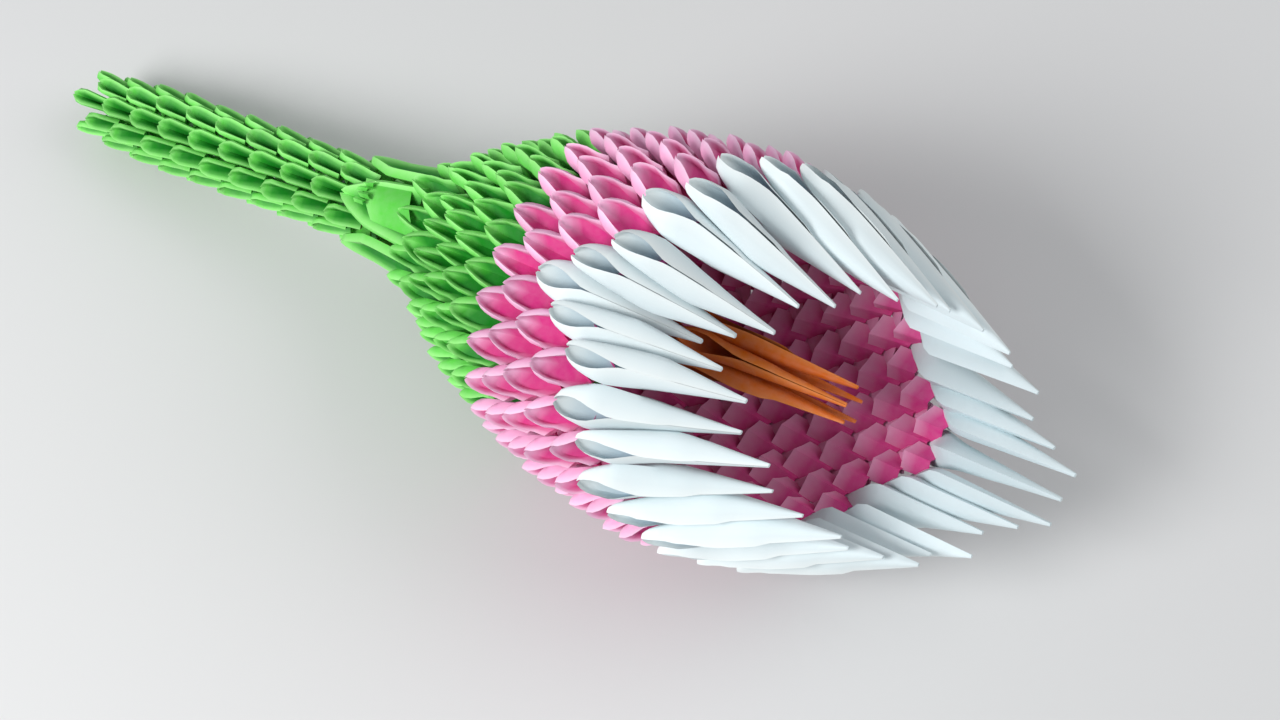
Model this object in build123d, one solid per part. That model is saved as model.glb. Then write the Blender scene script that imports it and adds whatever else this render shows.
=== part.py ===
"""Paper flower made of folded paper units, lying on its side on a table.

Each unit is one slip of paper folded to a small boat: a keel and two wings.
The units stand in staggered rings. The wing ends of one ring lie along the
wings of the ring in front of it, which is how the flower holds together.
Lengths are in millimetres and angles in degrees.
"""
from build123d import *
import os
from math import asin, atan, atan2, cos, degrees, radians, sin, sqrt

os.makedirs("parts", exist_ok=True)

# Paper slips: the folded triangle's long side is the slip's short side over root two
SMALL_SLIP = 37.1
LARGE_SLIP = 74.2
SMALL_LONG = SMALL_SLIP / sqrt(2)
LARGE_LONG = LARGE_SLIP / sqrt(2)
SMALL_DEPTH = SMALL_LONG / 2
LARGE_DEPTH = LARGE_LONG / 2

# One wing is several layers of paper thick; roots and gaps are shares of the step round a ring
WALL = 0.9
ROOT_SHARE = 0.045
GAP_SHARE = 0.02
CORNER_HALF = 3.0
OVERLAP = 1.75
PROW_LIFT = 1.6
TIP_SINK = 1.2

# Head: a cup whose outside swells from the neck to the belly
NECK_RADIUS = 13.5
BELLY_RADIUS = 54.5
BELLY_STATION = 104.0
FIRST_STATION = 4.0
HEAD_PITCH = 8.7
RING_COUNT = 22
NECK_ROWS = 2
CALYX_ROWS = 6

# Slanting mouth: the short side faces up, and the pink rows grow evenly round to the long side
SHORT_ROWS = 2
LONG_ROWS = 12
ROW_MARGIN = 0.25
PETAL_TIP_HALF = 1.2
PETAL_LEAN = 23.0
PETAL_KEEL = 42.0
PETAL_CORNER = 2.0
PETAL_BEND = 0.5
PETAL_SHORT = 0.87
PETAL_RAMP = 0.42

# Stem and spadix: slim columns of the same units
STEM_RADIUS = 11.7
STEM_END_RADIUS = 9.4
STEM_COUNT = 5
STEM_ROWS = 19
STEM_PITCH = 5.75
STEM_DEPTH = 8.6
STEM_LIFT = 0.8
STEM_CORNER = 0.9
STEM_WING = 0.235
STEM_PROW = 3.0
STEM_GAP = 0.2
STEM_START = -123.0
NECK_FIT = 1.7
NECK_REACH = 1.1
BLADE_OVERLAP = 2.7
BLADE_KEEL = 5.0
SPADIX_COUNT = 3
SPADIX_RADIUS = 6.6
SPADIX_DEPTH = 4.8
SPADIX_PITCH = 11.6
SPADIX_ROWS = 9
SPADIX_SEAT = 1.5
SPADIX_LIFT = 0.3
SPIKE_COUNT = 5
SPIKE_RADIUS = 7.6
SPIKE_DEPTH = 5.2
SPIKE_SLOPE = -3.0
SPIKE_CORNER = 0.6

# How it lies: the belly and the stem's end rest on the table, which presses the lowest prows flat
HEAD_TILT = 10.0
HEAD_ROLL = 25.0
REST_PRESS = 0.9
STEM_DROOP = 2.6
STEM_SWING = 2.5


def head_radius(station):
    """Outside radius of the head at a distance along its axis."""
    rise = 1 - (1 - station / BELLY_STATION) ** 2
    return NECK_RADIUS + (BELLY_RADIUS - NECK_RADIUS) * rise


def head_slope(station):
    """Angle between the head's outside and its axis."""
    return degrees(atan(2 * (BELLY_RADIUS - NECK_RADIUS) / BELLY_STATION * (1 - station / BELLY_STATION)))


def head_stations(rows):
    """Distances along the axis at which the rings of the head begin."""
    found = [FIRST_STATION]
    while len(found) < rows:
        found.append(found[-1] + HEAD_PITCH * cos(radians(head_slope(found[-1]))))
    return found


def share_around(column):
    """How far round a place is, from 0 at the short side to 1; columns are half steps."""
    return abs((column + RING_COUNT) % (2 * RING_COUNT) - RING_COUNT) / RING_COUNT


def pink_at(row, column):
    """Whether a place holds a pink unit."""
    limit = SHORT_ROWS + (LONG_ROWS - SHORT_ROWS) * share_around(column)
    return CALYX_ROWS <= row < CALYX_ROWS + limit - ROW_MARGIN


def petal_at(row, column):
    """Whether a place holds a petal: it is free, and a pink unit stands beside it in the row before."""
    return not pink_at(row, column) and (pink_at(row - 1, column - 1) or pink_at(row - 1, column + 1))


def ring_point(place, half_angle, forward, depth):
    """A point given from a unit's root: angle about the axis, forward along the outside, depth inward."""
    station, radius, slope = place
    lean = radians(slope)
    out = radius + forward * sin(lean) - depth * cos(lean)
    along = station + forward * cos(lean) + depth * sin(lean)
    return Vector(along, -out * sin(radians(half_angle)), out * cos(radians(half_angle)))


def panel(*points):
    """One flat facet of folded paper, or nothing where its corners run together."""
    kept = []
    for point in points:
        if all((point - other).length > WALL / 1000 for other in kept):
            kept.append(point)
    if len(kept) < 3:
        return []
    return [Face(Wire.make_polygon(kept, close=True))]


def folded_unit(place, root, lift, knees, tip, keel, corner):
    """One folded unit at the top of its ring.

    place is (station, radius, slope) of its root, root is half the root's width as an angle,
    and lift is how far the root stands out. knees holds (half width as an angle, distance
    forward, depth) of each wing's bend, and tip the same of both wings' ends. keel is
    (distance forward, depth) of the keel's inner end, and corner is half the width there.
    """
    radius = place[1]
    inner = radius + keel[0] * sin(radians(place[2])) - keel[1] * cos(radians(place[2]))
    wall = degrees(WALL / radius)
    corner_angle = degrees(corner / inner)
    corner_wall = min(degrees(WALL / inner), corner_angle)
    wings = []
    for side, knee in zip((-1, 1), knees):
        wings.append({
            "root": ring_point(place, side * root, 0, -lift),
            "knee": ring_point(place, side * knee[0], knee[1], knee[2]),
            "tip": ring_point(place, side * tip[0], tip[1], tip[2]),
            "corner": ring_point(place, side * corner_angle, keel[0], keel[1]),
            "root_in": ring_point(place, side * root * 0.4, WALL * 1.5, -lift),
            "knee_in": ring_point(place, side * (knee[0] - wall), knee[1], knee[2]),
            "tip_in": ring_point(place, side * (tip[0] - wall), tip[1], tip[2]),
            "corner_in": ring_point(place, side * (corner_angle - corner_wall), keel[0], keel[1] - WALL * 1.5),
        })
    left, right = wings
    faces = panel(left["root"], right["root"], right["corner"], left["corner"])
    faces += panel(left["root_in"], right["root_in"], right["corner_in"], left["corner_in"])
    faces += panel(left["root"], right["root"], right["root_in"], left["root_in"])
    faces += panel(left["corner"], right["corner"], right["corner_in"], left["corner_in"])
    for wing in wings:
        faces += panel(wing["root"], wing["knee"], wing["corner"])
        faces += panel(wing["knee"], wing["tip"], wing["corner"])
        faces += panel(wing["root_in"], wing["knee_in"], wing["corner_in"])
        faces += panel(wing["knee_in"], wing["tip_in"], wing["corner_in"])
        faces += panel(wing["root"], wing["knee"], wing["knee_in"])
        faces += panel(wing["root"], wing["knee_in"], wing["root_in"])
        faces += panel(wing["knee"], wing["tip"], wing["tip_in"])
        faces += panel(wing["knee"], wing["tip_in"], wing["knee_in"])
        faces += panel(wing["tip"], wing["corner"], wing["corner_in"])
        faces += panel(wing["tip"], wing["corner_in"], wing["tip_in"])
    return Solid(Shell(faces))


def wing_width(step):
    """Half width as an angle at which a wing meets the roots of the next ring."""
    return step * (0.5 - ROOT_SHARE - GAP_SHARE)


def ring_unit(place, step, pitch, depth, lift=PROW_LIFT, tongue=True, corner=CORNER_HALF):
    """A unit of a ring, with wings that meet the next ring's wings."""
    root = step * ROOT_SHARE
    knee = (wing_width(step), pitch, 0)
    narrowed = wing_width(step) - (wing_width(step) - root) * (OVERLAP - 1)
    tip = (narrowed, pitch * OVERLAP, TIP_SINK) if tongue else knee
    return folded_unit(place, root, lift, (knee, knee), tip, (depth, depth), corner)


def prow_height(place, turn):
    """Height of a unit's free prow once the head is tilted and rolled as it lies."""
    station, radius, slope = place
    out = radius + PROW_LIFT * cos(radians(slope))
    along = station - PROW_LIFT * sin(radians(slope))
    tilt = radians(HEAD_TILT)
    return along * sin(tilt) + out * cos(tilt) * cos(radians(turn + HEAD_ROLL))


def petal_unit(place, step, sides, around):
    """A large unit closed to a point; a side is wide, or narrow where a lower petal's wing covers it.

    Petals near the short side are pushed in further, so less of their length shows.
    """
    radius = place[1]
    lean = radians(PETAL_LEAN + place[2])
    length = LARGE_LONG * min(1, PETAL_SHORT + (1 - PETAL_SHORT) * around / PETAL_RAMP)
    reach = length * cos(lean)
    tip = (degrees(PETAL_TIP_HALF / radius) * 1.6, reach, length * sin(lean))
    wide = (wing_width(step), HEAD_PITCH, 0)
    bend = reach * PETAL_BEND
    start = ring_point(place, *wide)
    covering = start + (ring_point(place, *tip) - start) * (bend / (reach - HEAD_PITCH))
    cover = degrees(atan2(-covering.Y, covering.Z))
    narrow = (step * (0.5 - GAP_SHARE) - cover, bend, bend * sin(lean) / cos(lean))
    knees = [wide if side == "wide" else narrow for side in sides]
    keel = (LARGE_DEPTH * cos(radians(PETAL_KEEL)), LARGE_DEPTH * sin(radians(PETAL_KEEL)))
    return folded_unit(place, step * ROOT_SHARE, PROW_LIFT, knees, tip, keel, PETAL_CORNER)


def turned(unit, turn):
    """A copy of a unit turned about the axis."""
    return unit.rotate(Axis.X, turn)


# Head rings: the first rings have half as many units, and every second ring is turned by half a step
stations = head_stations(CALYX_ROWS + LONG_ROWS + 1)
places = [(station, head_radius(station), head_slope(station)) for station in stations]
step = 360 / RING_COUNT
turns = [column * step / 2 for column in range(2 * RING_COUNT)]
lowest = min(prow_height(place, turn) for row, place in enumerate(places) for turn in turns[row % 2::2])
table_level = lowest + REST_PRESS
head_nodes = {}
petals = []
for row, place in enumerate(places):
    units = []
    if row < NECK_ROWS:
        neck_step = step * 2
        last = row == NECK_ROWS - 1
        reach = HEAD_PITCH + NECK_REACH if last else HEAD_PITCH
        unit = ring_unit(place, neck_step, reach, SMALL_DEPTH, tongue=not last)
        units = [turned(unit, (index + row % 2 / 2) * neck_step) for index in range(RING_COUNT // 2)]
    else:
        unit = ring_unit(place, step, HEAD_PITCH, SMALL_DEPTH)
        for column in range(row % 2, 2 * RING_COUNT, 2):
            turn = turns[column]
            pressed = table_level - prow_height(place, turn)
            if row < CALYX_ROWS or pink_at(row, column):
                flat = ring_unit(place, step, HEAD_PITCH, SMALL_DEPTH, PROW_LIFT - pressed) if pressed > 0 else unit
                units.append(turned(flat, turn))
            elif petal_at(row, column):
                sides = []
                for side in (-1, 1):
                    lower = petal_at(row - 1, column + side)
                    sides.append("narrow" if lower else "wide")
                petal = petal_unit(place, step, sides, share_around(column))
                petals.append(turned(petal, turn))
    if row < CALYX_ROWS:
        head_nodes[f"calyx_ring_{row + 1}"] = units
    elif units:
        head_nodes[f"pink_ring_{row - CALYX_ROWS + 1}"] = units

# Stem: rings of five slim units, each reaching to the next but one, and a last ring that flares into the neck
stem_step = 360 / STEM_COUNT
stem_nodes = {}
for row in range(STEM_ROWS):
    station = STEM_START + row * STEM_PITCH
    grow = min(1, row / 4)
    radius = STEM_END_RADIUS + (STEM_RADIUS - STEM_END_RADIUS) * grow
    depth = STEM_DEPTH * radius / STEM_RADIUS
    root = stem_step * ROOT_SHARE
    wing = stem_step * STEM_WING
    if row < STEM_ROWS - 1:
        place = (station, radius, 0)
        knee = (wing, STEM_PROW, 0)
        tip = (wing, 2 * STEM_PITCH - STEM_GAP, 0)
        keel = (depth, depth)
    else:
        reach = FIRST_STATION + BLADE_OVERLAP - station
        flare = degrees(asin((head_radius(station + reach) - NECK_FIT - radius) / reach))
        place = (station, radius, flare)
        knee = (wing, STEM_PROW, 0)
        tip = (wing_width(stem_step), reach, 0)
        keel = (reach * 0.7, BLADE_KEEL)
    unit = folded_unit(place, root, STEM_LIFT, (knee, knee), tip, keel, STEM_CORNER)
    shift = stem_step / 2 * (row % 2)
    units = [turned(unit, index * stem_step + shift) for index in range(STEM_COUNT)]
    stem_nodes[f"stem_ring_{row + 1}"] = units

# Spadix: a slim column on the head's axis with long units at its end
spadix_step = 360 / SPADIX_COUNT
spadix = []
spadix_start = STEM_START + (STEM_ROWS - 2) * STEM_PITCH + STEM_DEPTH + SPADIX_SEAT
for row in range(SPADIX_ROWS):
    place = (spadix_start + row * SPADIX_PITCH, SPADIX_RADIUS, 0)
    tongue = row < SPADIX_ROWS - 1
    unit = ring_unit(place, spadix_step, SPADIX_PITCH, SPADIX_DEPTH, SPADIX_LIFT, tongue, corner=0)
    shift = spadix_step / 2 * (row % 2)
    spadix += [turned(unit, index * spadix_step + shift) for index in range(SPADIX_COUNT)]
spike_step = 360 / SPIKE_COUNT
spike_place = (spadix_start + SPADIX_ROWS * SPADIX_PITCH, SPIKE_RADIUS, SPIKE_SLOPE)
spike_knee = (spike_step * 0.42, HEAD_PITCH, 0)
spike_tip = (spike_step * 0.2, LARGE_LONG, 0)
spike_keel = (LARGE_DEPTH * 0.5, SPIKE_DEPTH)
spike_root = spike_step * ROOT_SHARE
spike = folded_unit(spike_place, spike_root, 0, (spike_knee, spike_knee), spike_tip, spike_keel, SPIKE_CORNER)
spikes = [turned(spike, index * spike_step) for index in range(SPIKE_COUNT)]

# Set everything down on the table and write one file for each group
slope_pose = Rot(0, -HEAD_TILT, 0) * Rot(HEAD_ROLL, 0, 0)
stem_pose = slope_pose * Rot(0, 0, STEM_SWING) * Rot(0, -STEM_DROOP, 0)
nodes = {}
for name, units in stem_nodes.items():
    nodes[name] = Compound([stem_pose * unit for unit in units])
for name, units in head_nodes.items():
    nodes[name] = Compound([slope_pose * unit for unit in units])
nodes["petals"] = Compound([slope_pose * unit for unit in petals])
nodes["spadix_column"] = Compound([slope_pose * unit for unit in spadix])
nodes["spadix_spikes"] = Compound([slope_pose * unit for unit in spikes])
boxes = [node.bounding_box() for node in nodes.values()]
low = min(box.min.Z for box in boxes)
middle_x = (min(box.min.X for box in boxes) + max(box.max.X for box in boxes)) / 2
middle_y = (min(box.min.Y for box in boxes) + max(box.max.Y for box in boxes)) / 2
set_down = Pos(-middle_x, -middle_y, -low)
for name, node in nodes.items():
    export_step(set_down * node, f"parts/{name}.step")
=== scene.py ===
"""Looks of the paper flower: rings of folded units, petals, stem and spadix in coloured paper.

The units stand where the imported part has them. The same sizes and formulas are used here, in
millimetres, and a unit's points go into the shared frame, in metres, when its sheet is bent.
"""

import logging
import random
from dataclasses import dataclass, field
from enum import Enum
from math import asin, atan, cos, degrees, pi, radians, sin, sqrt

import bmesh
import bpy
from mathutils import Matrix, Vector


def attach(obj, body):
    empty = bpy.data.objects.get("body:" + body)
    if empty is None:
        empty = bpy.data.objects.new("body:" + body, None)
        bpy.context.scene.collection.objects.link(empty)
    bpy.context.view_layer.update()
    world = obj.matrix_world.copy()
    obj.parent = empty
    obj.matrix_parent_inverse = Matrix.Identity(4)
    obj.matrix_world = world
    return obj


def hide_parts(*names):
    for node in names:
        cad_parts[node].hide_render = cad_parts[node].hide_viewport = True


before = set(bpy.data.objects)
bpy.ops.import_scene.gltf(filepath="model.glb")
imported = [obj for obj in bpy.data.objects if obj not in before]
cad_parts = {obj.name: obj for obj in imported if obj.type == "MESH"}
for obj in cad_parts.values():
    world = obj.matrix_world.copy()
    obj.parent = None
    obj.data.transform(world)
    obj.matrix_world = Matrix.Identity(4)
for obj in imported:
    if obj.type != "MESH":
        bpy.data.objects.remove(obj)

LOG = logging.getLogger("paper_flower")
MM = 0.001
Blank = tuple[bmesh.types.BMesh, bmesh.types.BMLayerItem, bmesh.types.BMLayerItem]
Pair = tuple[float, float]
Triple = tuple[float, float, float]
Socket = bpy.types.NodeSocket


class Pattern(Enum):
    """Noise patterns in the paper: how fine each is for each metre, and its finer layers."""

    MOTTLE = (420, 3)
    SHEEN = (900, 2)
    CRUMPLE = (160, 2)
    FIBRE = (2600, 4)


@dataclass(frozen=True)
class PaperFinish:
    """One colour of craft paper.

    face is the colour of a plain face, deep is painted shade, the darker colour down in a fold,
    and lip is a painted highlight, the paler colour along a folded edge, all as linear red, green
    and blue. grain and crumple hold a strength and a height in metres, and tones, mottle and sheen
    the ranges of brightness, saturation and added roughness.
    """

    name: str
    slot: str
    face: Triple
    deep: Triple
    lip: Triple
    roughness: float = 0.62
    grain: Pair = (0.5, 0.00004)
    crumple: Pair = (0.35, 0.00012)
    specular: float = 0.3
    tones: Pair = (0.9, 1.05)
    mottle: Pair = (0.9, 1.1)
    sheen: Pair = (-0.08, 0.1)


class Paper(Enum):
    """The papers that the flower is folded from."""

    # the second colour of each paper is painted shade for folds, the third a painted highlight for
    # lips
    GREEN = PaperFinish("green_craft_paper", "green_paper",
                        (0.14, 0.64, 0.09), (0.012, 0.25, 0.018), (0.33, 0.85, 0.24))
    PINK = PaperFinish("pink_craft_paper", "pink_paper",
                       (0.9, 0.42, 0.66), (0.7, 0.06, 0.27), (0.94, 0.62, 0.81))
    WHITE = PaperFinish("white_craft_paper", "white_paper",
                        (0.78, 0.87, 0.89), (0.42, 0.58, 0.68), (0.88, 0.94, 0.94))
    ORANGE = PaperFinish("orange_craft_paper", "orange_paper",
                         (0.66, 0.15, 0.025), (0.34, 0.05, 0.008), (0.82, 0.27, 0.07))


class PaperMaterial:
    """Builds the node material of a paper finish; the mix node's sockets go by number."""

    FACTOR, FIRST, SECOND, MIXED = 0, 6, 7, 2

    def __init__(self, finish: PaperFinish) -> None:
        """Makes the material.

        Args:
            finish: the paper's colours and roughness.
        """
        self.finish = finish
        self.material = bpy.data.materials.new(finish.name)
        self.material.use_nodes = True
        self.tree = self.material.node_tree
        self.shader = self.tree.nodes["Principled BSDF"]
        self._colour()
        self._surface()

    def _node(self, kind: str, **settings: object) -> bpy.types.Node:
        """Adds a node and sets its properties and inputs.

        Args:
            kind: the node's type.
            settings: property names, or input names after in_, and their values.

        Returns:
            The new node.
        """
        node = self.tree.nodes.new(kind)
        for key, value in settings.items():
            if key.startswith("in_"):
                node.inputs[key.removeprefix("in_").replace("_", " ")].default_value = value
            else:
                setattr(node, key, value)
        return node

    def _mix(self, first: object, second: object, factor: Socket) -> Socket:
        """Mixes two colours.

        Args:
            first: a colour or a socket, shown where the factor is 0.
            second: a colour or a socket, shown where the factor is 1.
            factor: the socket that mixes them.

        Returns:
            The mixed colour's socket.
        """
        mix = self._node("ShaderNodeMix", data_type="RGBA")
        for index, value in ((self.FIRST, first), (self.SECOND, second)):
            if isinstance(value, tuple):
                mix.inputs[index].default_value = (*value, 1)
            else:
                self.tree.links.new(value, mix.inputs[index])
        self.tree.links.new(factor, mix.inputs[self.FACTOR])
        return mix.outputs[self.MIXED]

    def _noise(self, pattern: Pattern) -> Socket:
        """Adds a noise pattern on Object coordinates.

        Args:
            pattern: how fine it is.

        Returns:
            The socket of its value.
        """
        scale, detail = pattern.value
        place = self._node("ShaderNodeTexCoord")
        noise = self._node("ShaderNodeTexNoise", in_Scale=scale, in_Detail=detail)
        self.tree.links.new(place.outputs["Object"], noise.inputs["Vector"])
        return noise.outputs["Fac"]

    def _ranged(self, value: Socket, low: float, high: float) -> Socket:
        """Maps a value from 0..1 to a range.

        Args:
            value: the value's socket.
            low: what 0 becomes.
            high: what 1 becomes.

        Returns:
            The mapped value's socket.
        """
        node = self._node("ShaderNodeMapRange", in_To_Min=low, in_To_Max=high)
        self.tree.links.new(value, node.inputs["Value"])
        return node.outputs["Result"]

    def _colour(self) -> None:
        """Colours the paper with painted fold shade and lip highlight, a soft mottle and a tone
        per slip.
        """
        finish, link = self.finish, self.tree.links.new
        fold, lip, tone = (self._node("ShaderNodeAttribute", attribute_name=name).outputs["Fac"]
                           for name in ("fold", "lip", "tone"))
        # painted shade down in the folds, then a painted highlight along the lips
        body = self._mix(finish.face, finish.deep, fold)
        body = self._mix(body, finish.lip, lip)
        mottle = self._node("ShaderNodeHueSaturation")
        link(body, mottle.inputs["Color"])
        link(self._ranged(tone, *finish.tones), mottle.inputs["Value"])
        saturation = self._ranged(self._noise(Pattern.MOTTLE), *finish.mottle)
        link(saturation, mottle.inputs["Saturation"])
        link(mottle.outputs["Color"], self.shader.inputs["Base Color"])

    def _surface(self) -> None:
        """Gives the paper its fibre grain, faint crumples and matte sheen."""
        finish, link = self.finish, self.tree.links.new
        self.shader.inputs["Specular IOR Level"].default_value = finish.specular
        low, high = (finish.roughness + change for change in finish.sheen)
        rough = self._ranged(self._noise(Pattern.SHEEN), low, high)
        link(rough, self.shader.inputs["Roughness"])
        crumple, grain = (self._node("ShaderNodeBump", in_Strength=strength, in_Distance=height)
                          for strength, height in (finish.crumple, finish.grain))
        link(self._noise(Pattern.CRUMPLE), crumple.inputs["Height"])
        link(self._noise(Pattern.FIBRE), grain.inputs["Height"])
        link(crumple.outputs["Normal"], grain.inputs["Normal"])
        link(grain.outputs["Normal"], self.shader.inputs["Normal"])


@dataclass(frozen=True)
class Lie:
    """How the flower lies on the table, in degrees and millimetres."""

    head_tilt: float = 10.0
    head_roll: float = 25.0
    stem_droop: float = 2.6
    stem_swing: float = 2.5
    shift: Triple = (-39.027, 0.0, 38.354)

    def head(self) -> Matrix:
        """Works out the head's place.

        Returns:
            The matrix from its own axis to the shared frame in metres.
        """
        turn = Matrix.Rotation(radians(-self.head_tilt), 4, "Y")
        roll = Matrix.Rotation(radians(self.head_roll), 4, "X")
        return Matrix.Scale(MM, 4) @ Matrix.Translation(self.shift) @ turn @ roll

    def stem(self) -> Matrix:
        """Works out the stem's place, swung and drooping from the head.

        Returns:
            The matrix from its own axis to the shared frame in metres.
        """
        swing = Matrix.Rotation(radians(self.stem_swing), 4, "Z")
        droop = Matrix.Rotation(radians(-self.stem_droop), 4, "Y")
        return self.head() @ swing @ droop


@dataclass(frozen=True)
class Place:
    """Where a unit's root is: distance along the axis, radius, and slope of the outside."""

    station: float
    radius: float
    slope: float

    def point(self, angle: float, forward: float, depth: float) -> Vector:
        """Finds a point from the root.

        Args:
            angle: degrees round the axis.
            forward: distance along the outside.
            depth: distance inward from it.

        Returns:
            The point about the flower's own axis, in millimetres.
        """
        lean = radians(self.slope)
        out = self.inner(forward, depth)
        along = self.station + forward * cos(lean) + depth * sin(lean)
        turn = radians(angle)
        return Vector((along, -out * sin(turn), out * cos(turn)))

    def inner(self, forward: float, depth: float) -> float:
        """Finds the radius at a place from the root.

        Args:
            forward: distance along the outside.
            depth: distance inward from it.

        Returns:
            The distance from the axis.
        """
        lean = radians(self.slope)
        return self.radius + forward * sin(lean) - depth * cos(lean)


@dataclass(frozen=True)
class WingEnd:
    """A place along a wing's edge: half width as an angle, distance forward and depth."""

    angle: float
    forward: float
    depth: float


@dataclass(frozen=True)
class Slack:
    """Largest differences between hand-folded units, in millimetres, degrees or shares.

    A flap has its start, depth and skew as station, radius and slope.
    """

    station: float = 0.0
    radius: float = 0.0
    slope: float = 0.0
    turn: float = 0.0
    width: float = 0.0
    length: float = 0.0
    lift: float = 0.0
    sink: float = 0.0
    blunt: float = 0.0
    front: float = 0.0


def eased(value: float) -> float:
    """Steps smoothly from 0 to 1.

    Args:
        value: the place of the step, held between 0 and 1.

    Returns:
        The step's height.
    """
    value = max(0.0, min(1.0, value))
    return value * value * (3 - 2 * value)


@dataclass(frozen=True)
class Section:
    """A cut across a folded unit: its two lips, its keel, and how thick and bulging its wings are.

    keel holds the distance forward and the depth of the keel, floor the thickness of the paper
    there and bulges how far each flank stands out past its lip, as an angle. closed is 1 where
    the lips meet.
    """

    RIM = 0.5
    RISE_POWER = 1.8
    UPRIGHT = 0.8
    CREST = 0.2
    CREST_SHARE = 0.3
    RAIL_LIMIT = 0.96
    INSIDE_POWER = 0.6
    OUTSIDE_POWER = 0.55
    BULGE_POWER = 0.9
    PAINTED_SHADE_GAIN = 2.0
    FLANK_SHADE = 0.15
    HIGHLIGHT_SPREAD = 0.45

    lips: tuple[WingEnd, WingEnd]
    keel: Pair
    rail: float
    floor: float
    bulges: Pair = (0.0, 0.0)
    closed: float = 0.0

    def point(self, place: Place, across: float) -> Vector:
        """Finds a point of the cut.

        Args:
            place: where the unit's root is.
            across: 0 at the bottom of the hollow, -0.5 and 0.5 on the rims, -1 and 1 under
                the keel.

        Returns:
            The point about the flower's own axis.
        """
        side, sign = (0, -1) if across < 0 else (1, 1)
        inside = abs(across) <= self.RIM
        share = abs(across) * 2 if inside else 2 - abs(across) * 2
        rise = 1 - (1 - share) ** self.RISE_POWER
        lip = self.lips[side]
        rail = degrees(self.rail / place.inner(lip.forward, lip.depth))
        rail = min(rail, lip.angle * self.RAIL_LIMIT)
        upright = min(1.0, rise / self.UPRIGHT)
        crest = eased((rise - self.UPRIGHT) / self.CREST)
        top = lip.depth - self.CREST_SHARE * self.rail * crest
        if inside:
            angle = (lip.angle - rail) * upright ** self.INSIDE_POWER
            angle += rail / 2 * crest * (1 - self.closed)
            depth = max(self.keel[1] - self.floor, lip.depth)
        else:
            angle = lip.angle * upright ** self.OUTSIDE_POWER
            angle -= rail / 2 * crest * (1 + self.closed)
            depth = self.keel[1]
        angle += self.bulges[side] * sin(pi * rise ** self.BULGE_POWER)
        forward = self.keel[0] + (lip.forward - self.keel[0]) * rise
        return place.point(sign * angle, forward, depth + (top - depth) * rise)

    def paint(self, across: float) -> Pair:
        """Finds how strong the painted highlight and the painted shade in the paper's colour are.

        Args:
            across: as for point.

        Returns:
            The painted highlight along a lip, and the painted shade in the hollow and flanks.
        """
        # painted highlight near the rims, painted shade deep in the hollow and faintly on the
        # flanks
        away = abs(abs(across) - self.RIM) * 2
        deep = self.FLANK_SHADE * away
        if abs(across) < self.RIM:
            deep = eased(away * self.PAINTED_SHADE_GAIN) * (1 - self.closed)
        return eased(1 - away / self.HIGHLIGHT_SPREAD), deep


@dataclass(frozen=True)
class BoatShape:
    """A small unit folded to a boat: a round prow, thick wings and a keel that slants inward.

    root and front are half widths as angles, before and behind the round bow; front 0 leaves the
    bow out. The wings widen by the power blunt, and their lips sink from sink_from of the knee.
    """

    FLOOR = 1.4
    KEEL_RUN = 0.9
    KEEL_SINK = 0.7
    BULGE_RUN = 0.7

    place: Place
    root: float
    lift: float
    widths: Pair
    knee: float
    tip: WingEnd
    keel: Pair
    rail: float
    blunt: float = 0.55
    sink_from: float = 0.35
    bulge: float = 0.0
    nose: float = 0.9
    front: float = 0.0
    front_run: float = 0.25

    def lip(self, side: int, along: float) -> WingEnd:
        """Finds a place on the wing's lip.

        Args:
            side: 0 for the first wing, 1 for the second.
            along: 0 at the prow to 1 at the tip.

        Returns:
            The place of the lip.
        """
        forward = self.tip.forward * along
        rise = min(1.0, forward / self.knee)
        wide = self.widths[side]
        angle = self.root + (wide - self.root) * rise ** self.blunt
        if self.front:
            bow = 1 - min(1.0, rise / self.front_run)
            rest = max(0.0, rise - self.front_run) / (1 - self.front_run)
            angle = self.root + (self.front - self.root) * sqrt(1 - bow * bow)
            angle += (wide - self.front) * rest ** self.blunt
        if forward > self.knee:
            run = self.tip.forward - self.knee
            angle = wide + (self.tip.angle - wide) * (forward - self.knee) / run
        start = self.sink_from * self.knee
        sink = self.tip.depth * eased((forward - start) / (self.tip.forward - start))
        return WingEnd(angle, forward, sink - self.lift * (1 - eased(rise)))

    def section(self, along: float) -> Section:
        """Cuts the unit across.

        Args:
            along: 0 at the prow to 1 at the inner corner.

        Returns:
            The cut.
        """
        sunk = along ** self.KEEL_RUN
        depth = (self.keel[1] + self.lift) * along ** self.KEEL_SINK - self.lift
        depth += self.nose * (1 - along) ** 2
        rise = min(1.0, self.tip.forward * along / self.knee)
        full = self.bulge * sin(pi * rise ** self.BULGE_RUN)
        lips = (self.lip(0, along), self.lip(1, along))
        return Section(lips, (self.keel[0] * sunk, depth), self.rail, self.FLOOR, (full, full))


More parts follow.
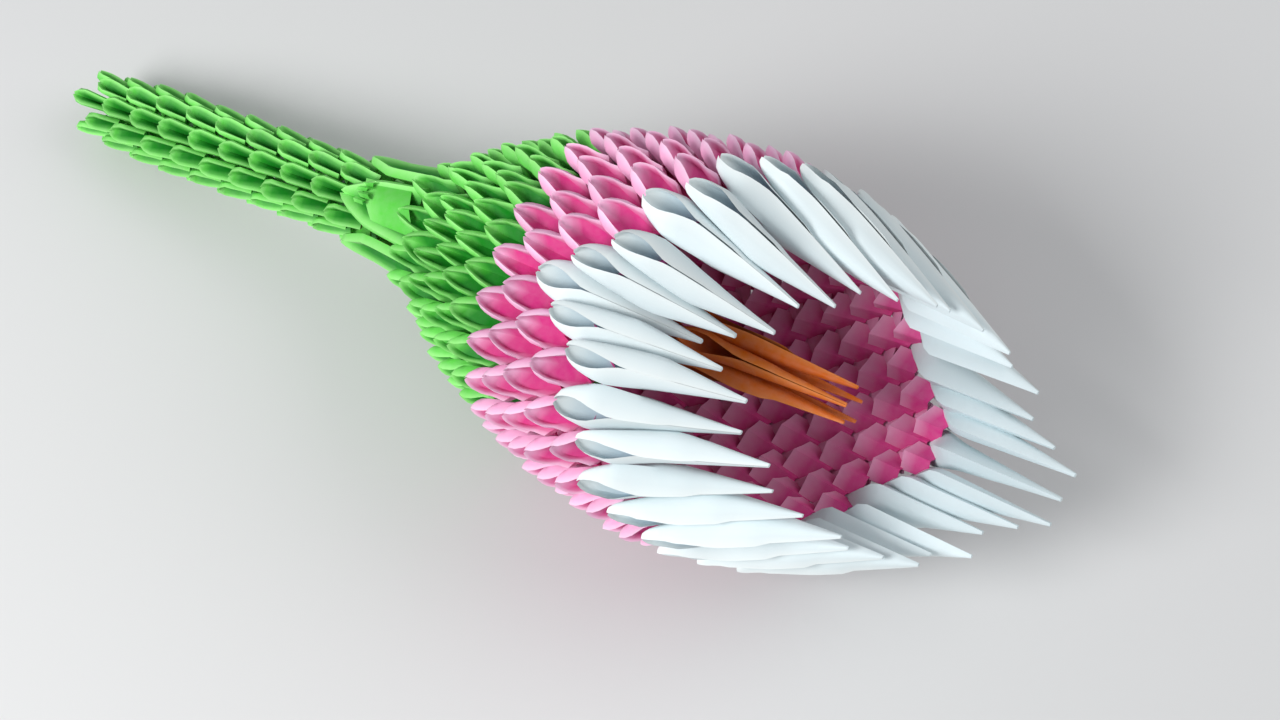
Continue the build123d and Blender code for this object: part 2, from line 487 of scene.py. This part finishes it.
@dataclass(frozen=True)
class HornShape:
    """A large unit: an open scoop at its root whose flanks close to a long pointed horn.

    The lips open to the share mouth of the half width, meet at the share closed_at of the length
    and stay apart by slit there. The first lip stands up as far as the share flap.
    """

    FLOOR = 0.9
    TAPER = 1.25
    DROOP = 1.1
    KEEL_SINK = 0.85
    NOSE_POWER = 3
    RAIL_LOSS = 0.55
    RAISE = 0.8
    RAISE_FROM = 0.2
    RAISE_RUN = 0.25
    BULGE = 0.9
    CLOSE_FROM = 0.6

    place: Place
    root: float
    lift: float
    widths: Pair
    knees: Pair
    tip: WingEnd
    keel: Pair
    bend: float
    rail: float
    closed_at: float = 0.4
    slit: float = 0.0
    flap: float = 0.6
    blunt: float = 0.5
    mouth: float = 0.62
    nose: float = 1.2

    def half_width(self, side: int, forward: float) -> float:
        """Finds half the width of one flank.

        Args:
            side: 0 for the first flank, 1 for the second.
            forward: distance from the root.

        Returns:
            The half width as an angle.
        """
        knee, wide = self.knees[side], self.widths[side]
        if forward < knee:
            return self.root + (wide - self.root) * (forward / knee) ** self.blunt
        share = (forward - knee) / (self.tip.forward - knee)
        return wide + (self.tip.angle - wide) * share ** self.TAPER

    def lip_depth(self, forward: float) -> float:
        """Finds how deep the lips are.

        Args:
            forward: distance from the root.

        Returns:
            The depth from the outside.
        """
        rest = max(0.0, forward - self.bend) / (self.tip.forward - self.bend)
        return self.tip.depth * rest ** self.DROOP - self.lift * (1 - eased(forward / self.bend))

    def keel_depth(self, forward: float) -> float:
        """Finds how deep the keel is.

        Args:
            forward: distance from the root.

        Returns:
            The depth from the outside.
        """
        place, deep = self.keel
        if forward < place:
            sunk = (deep + self.lift) * (forward / place) ** self.KEEL_SINK - self.lift
            return sunk + self.FLOOR + self.nose * (1 - forward / place) ** self.NOSE_POWER
        share = (forward - place) / (self.tip.forward - place)
        return max(deep + (self.tip.depth - deep) * share, self.lip_depth(forward)) + self.FLOOR

    def section(self, along: float) -> Section:
        """Cuts the unit across.

        Args:
            along: 0 at the root to 1 at the point.

        Returns:
            The cut.
        """
        forward = self.tip.forward * along
        closing = eased(along / self.closed_at)
        depth = self.lip_depth(forward)
        rail = self.rail * (1 - self.RAIL_LOSS * along)
        thick = degrees(rail / self.place.inner(forward, depth)) * (1 + self.slit)
        lips, bulges = [], []
        for side in range(2):
            wide = self.half_width(side, forward)
            slim = min(thick, wide)
            lip = max(slim, wide * self.mouth) * (1 - closing) + slim * closing
            raised = 0.0
            if side == 0 and along < self.flap:
                raised = self.RAISE * eased((along - self.RAISE_FROM) / self.RAISE_RUN)
            lips.append(WingEnd(lip, forward, depth - raised))
            bulges.append((wide - lip) * self.BULGE)
        keel = (forward, self.keel_depth(forward))
        closed = eased((along / self.closed_at - self.CLOSE_FROM) / (1 - self.CLOSE_FROM))
        return Section(tuple(lips), keel, rail, self.FLOOR, tuple(bulges), closed)


@dataclass(frozen=True)
class TileShape:
    """A small ridged flap: the roof tile at a unit's inner corner, or a loose piece of paper.

    half is half its width as an angle, ridge and fall how far it comes outward at its sides and
    along its length, and shade how strongly painted shade darkens its colour.
    """

    NARROWING = 0.1

    place: Place
    half: float
    start: float
    depth: float
    length: float
    ridge: float
    fall: float
    skew: float = 0.0
    shade: float = 0.85

    def point(self, across: float, along: float) -> Vector:
        """Finds a point of the tile.

        Args:
            across: -1 at one side to 1 at the other, 0 on the ridge.
            along: 0 at the end next to the stem to 1 under the next tiles.

        Returns:
            The point about the flower's own axis.
        """
        depth = self.depth - self.fall * along - self.ridge * abs(across)
        forward = self.start + self.length * along + self.skew * across
        angle = self.half * across * (1 - self.NARROWING * along)
        return self.place.point(angle, forward, depth)


@dataclass(frozen=True)
class SheetGrid:
    """How finely a sheet is divided: segments across and along, and how they crowd to the root."""

    across: int
    along: int
    crowd: float = 1.5


class PaperSheet:
    """Bends grids of paper to units and joins them into one mesh; lengths in metres."""

    WELD = 0.000002
    TABLE = 0.00005
    TILE_THICKNESS = 0.6 * MM
    SHARP = radians(50)
    NOSE_HIGHLIGHT = 0.1
    PAINTED_SHADE_GAIN = 3
    TILE_HIGHLIGHT = 0.5
    TILE_EDGE = 0.15
    TILE_SHADE_RISE = 0.15

    def __init__(self, node: str, pose: Matrix, paper: Paper, seed: int) -> None:
        """Starts an empty group of units.

        Args:
            node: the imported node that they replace.
            pose: from the flower's own axis to the shared frame.
            paper: what the units are folded from.
            seed: starts the small differences between hand-folded units.
        """
        self.node = node
        self.name = node + "_paper"
        self.pose = pose
        self.finish = paper.value
        self.random = random.Random(seed)
        self.mesh = bpy.data.meshes.new(self.name)
        self.group = bmesh.new()

    def wobble(self, size: float) -> float:
        """Draws a small difference of a hand-folded unit.

        Args:
            size: the largest difference.

        Returns:
            A number between -size and size.
        """
        return self.random.uniform(-size, size)

    def moved(self, place: Place, slack: Slack, rough: float = 1.0) -> Place:
        """Moves a unit's root by a small difference.

        Args:
            place: where the root belongs.
            slack: the largest differences.
            rough: how much of them is used.

        Returns:
            The root's place.
        """
        station = place.station + self.wobble(slack.station) * rough
        radius = place.radius + self.wobble(slack.radius) * rough
        return Place(station, radius, place.slope)

    def fold(self, shape: BoatShape | HornShape, grid: SheetGrid, turn: float) -> None:
        """Folds one unit as a closed thick sheet and adds it to the group.

        Args:
            shape: gives the cuts across the unit.
            grid: how the sheet is divided.
            turn: degrees round the axis.
        """
        unit, lip, hollow = self._blank(grid)
        whole = self.pose @ Matrix.Rotation(radians(turn), 4, "X")
        for vert in unit.verts:
            across, along = vert.co.x, ((vert.co.y + 1) / 2) ** grid.crowd
            section = shape.section(along)
            # painted highlight along the rims and round the prow, painted shade in the hollow
            # fading at the prow
            pale, deep = section.paint(across)
            vert[lip] = max(pale, eased(1 - along / self.NOSE_HIGHLIGHT))
            vert[hollow] = deep * eased(along * self.PAINTED_SHADE_GAIN)
            vert.co = whole @ section.point(shape.place, across)
            vert.co.z = max(vert.co.z, self.TABLE)
        bmesh.ops.remove_doubles(unit, verts=unit.verts[:], dist=self.WELD)
        open_edges = [edge for edge in unit.edges if edge.is_boundary]
        bmesh.ops.holes_fill(unit, edges=open_edges, sides=0)
        self._add(unit)

    def tile(self, shape: TileShape, grid: SheetGrid, turn: float) -> None:
        """Folds one flap and adds it to the group.

        Args:
            shape: gives the flap's points.
            grid: how the flap is divided.
            turn: degrees round the axis.
        """
        unit, lip, hollow = self._blank(grid)
        whole = self.pose @ Matrix.Rotation(radians(turn), 4, "X")
        for vert in unit.verts:
            across, along = vert.co.x, (vert.co.y + 1) / 2
            # painted highlight along the flap's front edge, painted shade growing toward its far
            # end
            vert[lip] = self.TILE_HIGHLIGHT * eased(1 - along / self.TILE_EDGE)
            vert[hollow] = shape.shade + self.TILE_SHADE_RISE * along
            vert.co = whole @ shape.point(across, along)
        bmesh.ops.solidify(unit, geom=unit.faces[:], thickness=-self.TILE_THICKNESS)
        self._add(unit)

    def _blank(self, grid: SheetGrid) -> Blank:
        """Starts a flat grid with its colour layers.

        Args:
            grid: how it is divided.

        Returns:
            The grid, its layer of painted lip highlight and its layer of painted hollow shade.
        """
        unit = bmesh.new()
        # lip holds a painted highlight, fold painted shade and tone a random tone for the unit
        lip, hollow, tone = (unit.verts.layers.float.new(name) for name in ("lip", "fold", "tone"))
        bmesh.ops.create_grid(unit, x_segments=grid.across, y_segments=grid.along, size=1.0)
        shade = self.random.random()
        for vert in unit.verts:
            vert[tone] = shade
        return unit, lip, hollow

    def _add(self, unit: bmesh.types.BMesh) -> None:
        """Adds a finished unit to the group.

        Args:
            unit: the unit, which is used up.
        """
        bmesh.ops.recalc_face_normals(unit, faces=unit.faces[:])
        for face in unit.faces:
            face.smooth = True
        unit.to_mesh(self.mesh)
        unit.free()
        self.group.from_mesh(self.mesh)

    def piece(self) -> bpy.types.Object:
        """Finishes the group as one piece that rides on the flower.

        Returns:
            The new object.
        """
        self.group.to_mesh(self.mesh)
        self.group.free()
        self.mesh.set_sharp_from_angle(angle=self.SHARP)
        made = bpy.data.objects.new(self.name, self.mesh)
        bpy.context.scene.collection.objects.link(made)
        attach(made, "root")
        return made


@dataclass
class UnitRings:
    """Sizes that the rings of folded units share.

    Lengths are in millimetres, widths are shares of the angle between units, and turns are in
    degrees.
    """

    small_long: float = 37.1 / sqrt(2)
    large_long: float = 74.2 / sqrt(2)
    root_share: float = 0.045
    gap_share: float = 0.02
    lie: Lie = field(default_factory=Lie)
    materials: dict[str, bpy.types.Material] = field(default_factory=dict)

    def wing_width(self, step: float) -> float:
        """Finds half the width at which a wing meets the next ring's roots.

        Args:
            step: degrees between units.

        Returns:
            The half width as an angle.
        """
        return step * (0.5 - self.root_share - self.gap_share)

    def dress(self, sheet: PaperSheet) -> None:
        """Finishes a sheet's piece, gives it its paper and lets it stand for its solids.

        Args:
            sheet: the folded units.
        """
        finish, node = sheet.finish, sheet.node
        piece = sheet.piece()
        if finish.name not in self.materials:
            self.materials[finish.name] = PaperMaterial(finish).material
        piece.data.materials.append(self.materials[finish.name])
        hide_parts(node)
        LOG.info("%s: %d faces of %s", piece.name, len(piece.data.polygons), finish.name)


@dataclass
class FlowerHead(UnitRings):
    """The cup: calyx, pink wall and petals round the slanting mouth."""

    neck_radius: float = 13.5
    belly_radius: float = 54.5
    belly_station: float = 104.0
    first_station: float = 4.0
    pitch: float = 8.7
    ring_count: int = 22
    neck_rows: int = 2
    calyx_rows: int = 6
    short_rows: int = 2
    long_rows: int = 12
    row_margin: float = 0.25
    lift: float = 1.6
    neck_reach: float = 1.1
    rail: float = 2.1
    wing_sink: float = 3.6
    wing_run: float = 1.12
    rim_run: float = 1.03
    tile_long: float = 11.5
    rim_tile: float = 8.0
    petal_lean: float = 23.0
    petal_keel: float = 42.0
    petal_tip: float = 1.2
    petal_rail: float = 1.5
    petal_full: float = 1.35
    petal_bend: float = 0.5
    petal_short: float = 0.87
    petal_ramp: float = 0.42
    petal_spread: float = 0.48
    petal_root: float = 2.6
    petal_lift: float = 1.2
    prow_full: float = 1.2
    prow_lift: float = 1.5
    nose: float = 2.4
    blunt: float = 1.0
    wing_half: float = 0.43
    bulge_share: float = 0.18
    front_share: float = 0.2
    tile_half: float = 0.46
    tile_back: float = 1.2
    tile_depth: float = 0.6
    tile_ridge: float = 3.8
    tile_fall: float = 0.27
    tile_skew: float = 1.2
    calyx_rough: float = 1.8
    pink_rough: float = 1.0
    neck_turn: float = 1.5
    calyx_turn: float = 0.7
    pink_turn: float = 0.4
    boat_slack: Slack = Slack(station=0.35, radius=0.3, width=0.04, sink=0.2, lift=0.3,
                              blunt=0.15, front=0.015)
    petal_slack: Slack = Slack(station=0.3, radius=0.25, slope=1.0, length=0.012)
    tile_slack: Slack = Slack(width=0.05, station=0.3, radius=0.3, slope=0.5)
    boat_grid: SheetGrid = SheetGrid(12, 6, 1.8)
    petal_grid: SheetGrid = SheetGrid(24, 18, 1.3)
    tile_grid: SheetGrid = SheetGrid(4, 2)
    petal_seed: int = 7
    ring_seed: int = 100

    def place(self, station: float) -> Place:
        """Finds where a unit's root is.

        Args:
            station: distance along the axis.

        Returns:
            The root's place.
        """
        rest = 1 - station / self.belly_station
        swell = self.belly_radius - self.neck_radius
        slope = degrees(atan(2 * swell / self.belly_station * rest))
        return Place(station, self.neck_radius + swell * (1 - rest * rest), slope)

    def stations(self) -> list[float]:
        """Finds where the rings begin.

        Returns:
            The rings' distances along the axis.
        """
        found = [self.first_station]
        while len(found) < self.calyx_rows + self.long_rows + 1:
            slope = radians(self.place(found[-1]).slope)
            found.append(found[-1] + self.pitch * cos(slope))
        return found

    def share_around(self, column: int) -> float:
        """Finds how far round a column is.

        Args:
            column: half steps round from the short side.

        Returns:
            0 at the short side to 1 at the long side.
        """
        half = self.ring_count
        return abs((column + half) % (2 * half) - half) / half

    def pink_at(self, row: int, column: int) -> bool:
        """Tells whether a place of the lattice holds a pink unit.

        Args:
            row: the ring.
            column: half steps round from the short side.

        Returns:
            True for a pink unit.
        """
        limit = self.short_rows + (self.long_rows - self.short_rows) * self.share_around(column)
        return self.calyx_rows <= row < self.calyx_rows + limit - self.row_margin

    def petal_at(self, row: int, column: int) -> bool:
        """Tells whether a place is free and has a pink unit beside it in the row before.

        Args:
            row: the ring.
            column: half steps round from the short side.

        Returns:
            True for a petal.
        """
        below = self.pink_at(row - 1, column - 1) or self.pink_at(row - 1, column + 1)
        return below and not self.pink_at(row, column)

    def boat(self, place: Place, step: float, reach: float, sheet: PaperSheet, rough: float,
             tongue: float) -> BoatShape:
        """Shapes a ring's unit with the small differences of a hand-folded one.

        Args:
            place: where its root is.
            step: degrees between units.
            reach: distance to where its wings are widest.
            sheet: draws the differences.
            rough: how large the differences are.
            tongue: how far the wings run into the next ring, as a multiple of reach.

        Returns:
            The unit's shape.
        """
        slack = self.boat_slack
        moved = sheet.moved(place, slack, rough)
        root = step * self.root_share * self.prow_full
        wide = step * self.wing_half
        widths = tuple(wide * (1 + sheet.wobble(slack.width) * rough) for _ in range(2))
        sink = self.wing_sink * (1 + sheet.wobble(slack.sink) * rough)
        tip = WingEnd(wide, reach * tongue, sink)
        lift = self.lift * (self.prow_lift + sheet.wobble(slack.lift) * rough)
        depth = self.small_long / 2
        blunt = self.blunt + sheet.wobble(slack.blunt) * rough
        front = step * (self.front_share + sheet.wobble(slack.front) * rough)
        return BoatShape(moved, root, lift, widths, reach, tip, (depth, depth), self.rail, blunt,
                         bulge=step * self.bulge_share, nose=self.nose, front=front)

    def petal(self, place: Place, row: int, column: int, sheet: PaperSheet) -> HornShape:
        """Shapes a petal at a place of the lattice.

        Args:
            place: where its root is.
            row: the ring it would belong to.
            column: half steps round from the short side.
            sheet: draws small differences.

        Returns:
            The petal's shape.
        """
        step = 360 / self.ring_count
        slack = self.petal_slack
        lean = radians(self.petal_lean + place.slope + sheet.wobble(slack.slope))
        grown = (1 - self.petal_short) * self.share_around(column) / self.petal_ramp
        share = min(1.0, self.petal_short + grown)
        length = self.large_long * share * (1 + sheet.wobble(slack.length))
        reach = length * cos(lean)
        tip = WingEnd(degrees(self.petal_tip / place.radius), reach, length * sin(lean))
        covered = [self.petal_at(row - 1, column + side) for side in (-1, 1)]
        wide = self.wing_width(step)
        bend = 1 - self.petal_bend * reach / (reach - self.pitch)
        slender = min(wide, step * self.petal_spread - wide * bend)
        widths = tuple((slender if hidden else wide) * self.petal_full for hidden in covered)
        knees = tuple(reach * self.petal_bend if hidden else self.pitch for hidden in covered)
        deep = radians(self.petal_keel)
        keel = (self.large_long / 2 * cos(deep), self.large_long / 2 * sin(deep))
        moved = sheet.moved(place, slack)
        root = step * self.root_share * self.petal_root
        return HornShape(moved, root, self.lift * self.petal_lift, widths, knees, tip, keel,
                         self.pitch, self.petal_rail)

    def tile(self, place: Place, step: float, sheet: PaperSheet, length: float) -> TileShape:
        """Shapes the flap at a unit's inner corner.

        Args:
            place: where the unit's root is.
            step: degrees between units.
            sheet: draws small differences.
            length: how long the flap is.

        Returns:
            The flap's shape.
        """
        slack = self.tile_slack
        corner = self.small_long / 2
        half = step * self.tile_half * (1 + sheet.wobble(slack.width))
        start = corner - self.tile_back + sheet.wobble(slack.station)
        depth = corner + self.tile_depth + sheet.wobble(slack.radius)
        skew = self.tile_skew + sheet.wobble(slack.slope)
        return TileShape(place, half, start, depth, length, self.tile_ridge,
                         length * self.tile_fall, skew)

    def build(self) -> None:
        """Folds every ring of the head and the petals."""
        head = self.lie.head()
        petals = PaperSheet("petals", head, Paper.WHITE, self.petal_seed)
        for row, station in enumerate(self.stations()):
            green = row < self.calyx_rows
            name = f"calyx_ring_{row + 1}" if green else f"pink_ring_{row - self.calyx_rows + 1}"
            paper = Paper.GREEN if green else Paper.PINK
            ring = PaperSheet(name, head, paper, self.ring_seed + row)
            place = self.place(station)
            if row < self.neck_rows:
                self._neck_ring(ring, place, row)
            else:
                self._ring(ring, petals, place, row)
            if green or row < self.calyx_rows + self.long_rows:
                self.dress(ring)
        self.dress(petals)

    def _neck_ring(self, ring: PaperSheet, place: Place, row: int) -> None:
        """Folds a ring of the neck, which has half as many units.

        Args:
            ring: the ring's sheet.
            place: where its roots are.
            row: the ring's number.
        """
        step = 720 / self.ring_count
        last = row == self.neck_rows - 1
        reach = self.pitch + self.neck_reach if last else self.pitch
        for index in range(self.ring_count // 2):
            turn = (index + row % 2 / 2) * step
            boat = self.boat(place, step, reach, ring, self.calyx_rough, self.wing_run)
            ring.fold(boat, self.boat_grid, turn + ring.wobble(self.neck_turn))
            ring.tile(self.tile(place, step, ring, self.tile_long), self.tile_grid, turn)

    def _ring(self, ring: PaperSheet, petals: PaperSheet, place: Place, row: int) -> None:
        """Folds a full ring and the petals that stand in it.

        Args:
            ring: the ring's sheet.
            petals: the petals' sheet.
            place: where its roots are.
            row: the ring's number.
        """
        step = 360 / self.ring_count
        green = row < self.calyx_rows
        rough = self.calyx_rough if green else self.pink_rough
        loose = self.calyx_turn if green else self.pink_turn
        for column in range(row % 2, 2 * self.ring_count, 2):
            turn = column * step / 2
            if green or self.pink_at(row, column):
                rim = any(self.petal_at(row + 1, column + side) for side in (-1, 1))
                run = self.rim_run if rim else self.wing_run
                length = self.rim_tile if rim else self.tile_long
                boat = self.boat(place, step, self.pitch, ring, rough, run)
                turn += ring.wobble(loose)
                ring.fold(boat, self.boat_grid, turn)
                ring.tile(self.tile(place, step, ring, length), self.tile_grid, turn)
            elif self.petal_at(row, column):
                petals.fold(self.petal(place, row, column, petals), self.petal_grid, turn)


@dataclass
class FlowerStem(UnitRings):
    """The stem: rings of five green troughs, the last with long wings that run into the neck."""

    radius: float = 11.7
    end_radius: float = 9.4
    count: int = 5
    rows: int = 19
    pitch: float = 5.75
    depth: float = 8.6
    lift: float = 0.8
    rail: float = 1.9
    wing: float = 0.25
    tuck: float = 0.4
    prow: float = 2.6
    prow_full: float = 1.5
    prow_lift: float = 0.5
    tip_share: float = 0.96
    bulge_share: float = 0.03
    taper_rows: int = 4
    start: float = -123.0
    neck_fit: float = 1.7
    blade_overlap: float = 4.0
    blade_keel: float = 6.0
    blade_rail: float = 5.2
    blade_wing: float = 0.485
    blade_spread: float = 0.5
    blade_knee: float = 0.38
    blade_run: float = 0.9
    flap_half: float = 24.0
    flap_start: float = 8.5
    flap_long: float = 18.0
    flap_turn: float = -4.0
    shreds: int = 4
    shred_half: float = 2.6
    shred_back: float = 2.5
    shred_depth: float = -1.5
    shred_step: float = 7.0
    slack: Slack = Slack(station=0.4, radius=0.2, width=0.06, lift=0.4, turn=1.2)
    shred_slack: Slack = Slack(station=1.2, radius=0.8, slope=1.5)
    trough_grid: SheetGrid = SheetGrid(12, 5)
    blade_grid: SheetGrid = SheetGrid(12, 8)
    flap_grid: SheetGrid = SheetGrid(6, 3)
    shred_grid: SheetGrid = SheetGrid(2, 2)
    seed: int = 300
    head: FlowerHead = field(default_factory=FlowerHead)

    def build(self) -> None:
        """Folds every ring of the stem."""
        step = 360 / self.count
        for row in range(self.rows):
            name = f"stem_ring_{row + 1}"
            ring = PaperSheet(name, self.lie.stem(), Paper.GREEN, self.seed + row)
            station = self.start + row * self.pitch
            grown = min(1, row / self.taper_rows)
            radius = self.end_radius + (self.radius - self.end_radius) * grown
            for index in range(self.count):
                turn = index * step + step / 2 * (row % 2)
                if row < self.rows - 1:
                    trough = self.trough(Place(station, radius, 0), ring)
                    ring.fold(trough, self.trough_grid, turn + ring.wobble(self.slack.turn))
                else:
                    ring.fold(self.blade(station, radius), self.blade_grid, turn)
            if row == self.rows - 1:
                self._torn_flap(ring, self.blade(station, radius).place)
            self.dress(ring)

    def _torn_flap(self, ring: PaperSheet, place: Place) -> None:
        """Lays a loose flap with torn points on the blade that faces up.

        Args:
            ring: the last ring's sheet.
            place: where the blade's root is.
        """
        flap = TileShape(place, self.flap_half, self.flap_start, depth=-1.2,
                         length=self.flap_long, ridge=-1.3, fall=-0.4, skew=4.0, shade=0.05)
        ring.tile(flap, self.flap_grid, self.flap_turn)
        slack = self.shred_slack
        for shred in range(self.shreds):
            start = self.flap_start - self.shred_back + ring.wobble(slack.station)
            depth = self.shred_depth + ring.wobble(slack.radius)
            point = TileShape(place, self.shred_half, start, depth, length=5.0, ridge=-0.8,
                              fall=1.2, skew=ring.wobble(slack.slope), shade=0.1)
            turn = self.flap_turn + (shred - self.shreds / 2) * self.shred_step
            ring.tile(point, self.shred_grid, turn)

    def trough(self, place: Place, sheet: PaperSheet) -> BoatShape:
        """Shapes a slim unit with straight sides that reaches to the next but one.

        Args:
            place: where its root is.
            sheet: draws small differences.

        Returns:
            The unit's shape.
        """
        step = 360 / self.count
        wing = step * self.wing
        slack = self.slack
        widths = tuple(wing * (1 + sheet.wobble(slack.width)) for _ in range(2))
        tip = WingEnd(wing * self.tip_share, 2 * self.pitch + self.tuck, depth=1.2)
        depth = self.depth * place.radius / self.radius
        moved = sheet.moved(place, slack)
        lift = self.lift * (self.prow_lift + sheet.wobble(slack.lift))
        root = step * self.root_share * self.prow_full
        return BoatShape(moved, root, lift, widths, self.prow, tip, (depth, depth), self.rail,
                         blunt=0.42, sink_from=1.0, bulge=step * self.bulge_share, nose=1.6)

    def blade(self, station: float, radius: float) -> BoatShape:
        """Shapes the last ring's unit, whose wings flare into the neck.

        Args:
            station: distance along the axis.
            radius: the stem's radius.

        Returns:
            The unit's shape.
        """
        step = 360 / self.count
        reach = self.head.first_station + self.blade_overlap - station
        rise = self.head.place(station + reach).radius - self.neck_fit - radius
        place = Place(station, radius, degrees(asin(rise / reach)))
        wing = step * self.blade_wing
        tip = WingEnd(step * self.blade_spread, reach, depth=0.6)
        keel = (reach * self.blade_run, self.blade_keel)
        return BoatShape(place, step * self.root_share, self.lift, (wing, wing),
                         reach * self.blade_knee, tip, keel, self.blade_rail, blunt=0.5)


@dataclass
class FlowerSpadix(UnitRings):
    """The orange column on the axis of the cup with long units at its end."""

    stem: FlowerStem = field(default_factory=FlowerStem)
    count: int = 3
    radius: float = 6.6
    depth: float = 4.8
    pitch: float = 11.6
    rows: int = 9
    seat: float = 1.5
    lift: float = 0.6
    rail: float = 1.3
    prow_full: float = 1.5
    wing_run: float = 1.12
    last_run: float = 1.05
    spike_count: int = 5
    spike_radius: float = 8.6
    spike_depth: float = 6.2
    spike_slope: float = -3.0
    spike_knee: float = 8.7
    spike_root: float = 2.0
    spike_lift: float = 0.2
    spike_wing: float = 0.62
    spike_tip: float = 0.1
    slack: Slack = Slack(width=0.04, turn=4.0)
    spike_slack: Slack = Slack(station=1.5, slope=1.2, length=0.02)
    column_grid: SheetGrid = SheetGrid(12, 6)
    spike_grid: SheetGrid = SheetGrid(20, 16, 1.3)
    column_seed: int = 500
    spike_seed: int = 501

    def build(self) -> None:
        """Folds the column and its long units."""
        stem, head = self.stem, self.lie.head()
        start = stem.start + (stem.rows - 2) * stem.pitch + stem.depth + self.seat
        column = PaperSheet("spadix_column", head, Paper.ORANGE, self.column_seed)
        step = 360 / self.count
        for row in range(self.rows):
            place = Place(start + row * self.pitch, self.radius, 0)
            for index in range(self.count):
                turn = index * step + step / 2 * (row % 2)
                shell = self.shell(place, row, column)
                column.fold(shell, self.column_grid, turn + column.wobble(self.slack.turn))
        self.dress(column)
        spikes = PaperSheet("spadix_spikes", head, Paper.ORANGE, self.spike_seed)
        for index in range(self.spike_count):
            spike = self.spike(start + self.rows * self.pitch, spikes)
            spikes.fold(spike, self.spike_grid, index * (360 / self.spike_count))
        self.dress(spikes)

    def shell(self, place: Place, row: int, sheet: PaperSheet) -> BoatShape:
        """Shapes a unit of the column.

        Args:
            place: where its root is.
            row: the ring's number.
            sheet: draws small differences.

        Returns:
            The unit's shape.
        """
        step = 360 / self.count
        run = self.wing_run if row < self.rows - 1 else self.last_run
        wide = self.wing_width(step)
        widths = tuple(wide * (1 + sheet.wobble(self.slack.width)) for _ in range(2))
        tip = WingEnd(wide, self.pitch * run, depth=1.6)
        return BoatShape(place, step * self.root_share * self.prow_full, self.lift, widths,
                         self.pitch, tip, (self.depth, self.depth), self.rail)

    def spike(self, station: float, sheet: PaperSheet) -> HornShape:
        """Shapes one of the long units at the column's end.

        Args:
            station: distance along the axis.
            sheet: draws small differences.

        Returns:
            The unit's shape.
        """
        step, slack = 360 / self.spike_count, self.spike_slack
        station += sheet.wobble(slack.station)
        place = Place(station, self.spike_radius, self.spike_slope + sheet.wobble(slack.slope))
        wide, knee = step * self.spike_wing, self.spike_knee
        length = self.large_long * (1 + sheet.wobble(slack.length))
        tip = WingEnd(step * self.spike_tip, length, depth=0.6)
        keel = (self.large_long / 4, self.spike_depth)
        root = step * self.root_share * self.spike_root
        return HornShape(place, root, self.spike_lift, (wide, wide), (knee, knee), tip, keel, knee,
                         rail=1.3, slit=0.12)


@dataclass
class Studio:
    """Floor, light and the camera at the photograph's angle, in metres and degrees.

    The lens is worked out in millimetres from the sensor and the focal length in pixels. Each
    lamp has a name, a place, a size and a power in watts.
    """

    yaw: float = 30.89
    elevation: float = 62.96
    roll: float = -0.14
    sensor: float = 36.0
    focal_pixels: float = 2700.0
    picture_width: float = 1280.0
    distance: float = 0.7538
    aim: Triple = (0.03806, -0.0061, 0.03907)
    lit: Triple = (0.03, 0.0, 0.04)
    lamps: tuple[tuple, ...] = (("key", (-0.35, -0.75, 0.75), 0.45, 10.0),
                                ("fill", (0.7, 0.5, 0.9), 0.9, 4.0))
    sky: float = 0.38
    sky_colour: Triple = (0.94, 0.97, 1.0)
    floor_half: float = 3.0
    floor_colour: Triple = (0.7, 0.7, 0.7)
    floor_roughness: float = 0.8

    def build(self) -> None:
        """Sets up the whole stage."""
        self._floor()
        self._light()
        self._camera()

    def _floor(self) -> None:
        """Lays a wide plain pale floor."""
        sheet = bmesh.new()
        bmesh.ops.create_grid(sheet, x_segments=4, y_segments=4, size=self.floor_half)
        mesh = bpy.data.meshes.new("floor")
        sheet.to_mesh(mesh)
        sheet.free()
        floor = bpy.data.objects.new("floor", mesh)
        bpy.context.scene.collection.objects.link(floor)
        material = bpy.data.materials.new("pale_floor")
        material.use_nodes = True
        shader = material.node_tree.nodes["Principled BSDF"]
        shader.inputs["Base Color"].default_value = (*self.floor_colour, 1)
        shader.inputs["Roughness"].default_value = self.floor_roughness
        mesh.materials.append(material)

    def _light(self) -> None:
        """Hangs a soft key at the lower left of the picture, a weak fill and an even sky."""
        for name, place, size, power in self.lamps:
            lamp = bpy.data.lights.new(name, "AREA")
            lamp.size = size
            lamp.energy = power
            made = bpy.data.objects.new(name, lamp)
            made.location = place
            aim = Vector(self.lit) - Vector(place)
            made.rotation_euler = aim.to_track_quat("-Z", "Y").to_euler()
            bpy.context.scene.collection.objects.link(made)
        world = bpy.data.worlds.new("studio")
        world.use_nodes = True
        sky = world.node_tree.nodes["Background"]
        sky.inputs["Color"].default_value = (*self.sky_colour, 1)
        sky.inputs["Strength"].default_value = self.sky
        bpy.context.scene.world = world

    def _camera(self) -> None:
        """Sets the photograph's camera."""
        yaw, up = radians(self.yaw), radians(self.elevation)
        back = Vector((sin(yaw) * cos(up), -cos(yaw) * cos(up), sin(up)))
        right = Vector((cos(yaw), sin(yaw), 0))
        turn = Matrix((right, back.cross(right), back)).transposed().to_4x4()
        lens = bpy.data.cameras.new("camera")
        lens.lens = self.sensor * self.focal_pixels / self.picture_width
        camera = bpy.data.objects.new("camera", lens)
        spin = Matrix.Rotation(radians(self.roll), 4, "Z")
        place = Matrix.Translation(Vector(self.aim) + back * self.distance)
        camera.matrix_world = place @ turn @ spin
        bpy.context.scene.collection.objects.link(camera)
        bpy.context.scene.camera = camera


def main() -> None:
    """Builds the flower and its stage."""
    logging.basicConfig(level=logging.INFO, format="%(message)s")
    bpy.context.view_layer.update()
    bpy.context.scene.view_settings.view_transform = "Standard"
    materials: dict[str, bpy.types.Material] = {}
    for assembly in (FlowerHead, FlowerStem, FlowerSpadix):
        assembly(materials=materials).build()
        LOG.info("%s built", assembly.__name__)
    Studio().build()
    bpy.context.view_layer.update()


if __name__ == "__main__":
    main()
